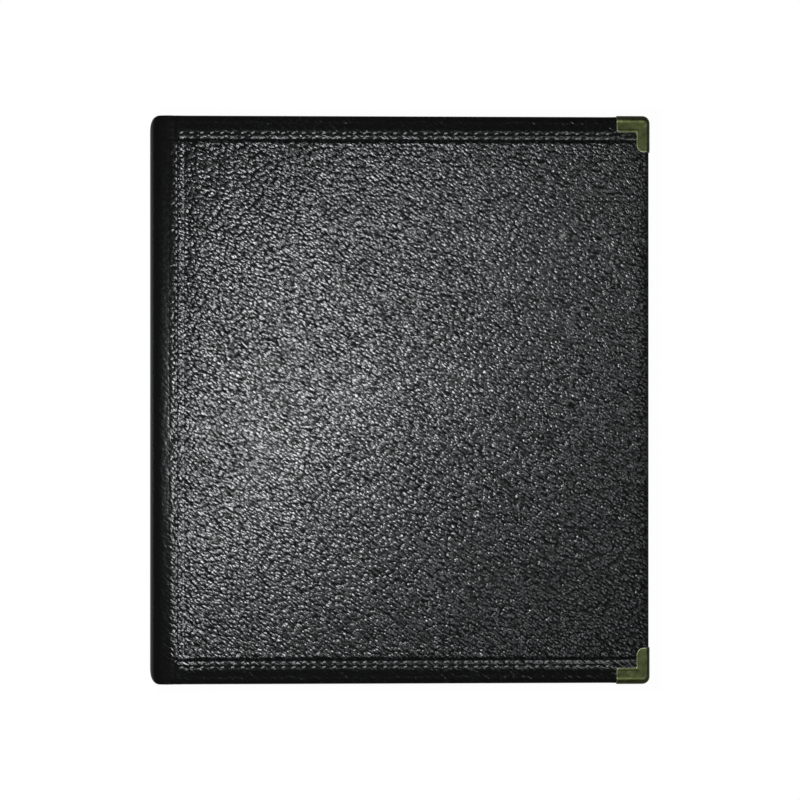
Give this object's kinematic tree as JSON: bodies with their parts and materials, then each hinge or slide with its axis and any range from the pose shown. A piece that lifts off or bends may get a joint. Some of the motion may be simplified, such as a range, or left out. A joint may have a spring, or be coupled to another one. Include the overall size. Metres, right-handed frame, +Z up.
{
  "type": "music folder",
  "caption": "Black leather sheet-music folder with padded covers, stitched borders, brass corners and an inner pocket in each cover.",
  "frame": {"origin": "on the surface the closed folder lies on, under the middle of its outline", "axes": "+X from the spine to the fore edge, +Y from tail to head, +Z up through the front cover"},
  "size_m": [0.3125, 0.3556, 0.02],
  "materials": {
    "cover_leather": "pebble-grained, semi-gloss, black",
    "corner_brass": "antique brass, darkened in the hollows",
    "lining": "black woven lining cloth",
    "pocket_leather": "thin smooth-grained black leather",
    "board": "grey binder's board",
    "padding": "thin cream felt padding"
  },
  "bodies": {
    "back_cover": {"back_leather": "cover_leather", "back_padding": "padding", "back_board": "board", "back_lining": "lining", "back_head_corner": "corner_brass", "back_tail_corner": "corner_brass", "back_pocket_panel": "pocket_leather", "back_pocket_tail_gusset": "pocket_leather", "back_pocket_fore_gusset": "pocket_leather", "back_pocket_hinge_gusset": "pocket_leather"},
    "spine": {"spine_leather": "cover_leather", "spine_stiffener": "board", "spine_lining": "lining"},
    "front_cover": {"front_leather": "cover_leather", "front_padding": "padding", "front_board": "board", "front_lining": "lining", "front_head_corner": "corner_brass", "front_tail_corner": "corner_brass", "front_pocket_panel": "pocket_leather", "front_pocket_tail_gusset": "pocket_leather", "front_pocket_fore_gusset": "pocket_leather", "front_pocket_hinge_gusset": "pocket_leather"}
  },
  "joints": [
    {"name": "spine_hinge", "type": "hinge", "parent": "back_cover", "child": "spine", "pos_m": [-0.15377, 0, 0.0032], "axis": [0, -1, 0], "range_deg": [0, 90]},
    {"name": "front_cover_hinge", "type": "hinge", "parent": "spine", "child": "front_cover", "pos_m": [-0.15377, 0, 0.0168], "axis": [0, -1, 0], "range_deg": [0, 90]}
  ]
}
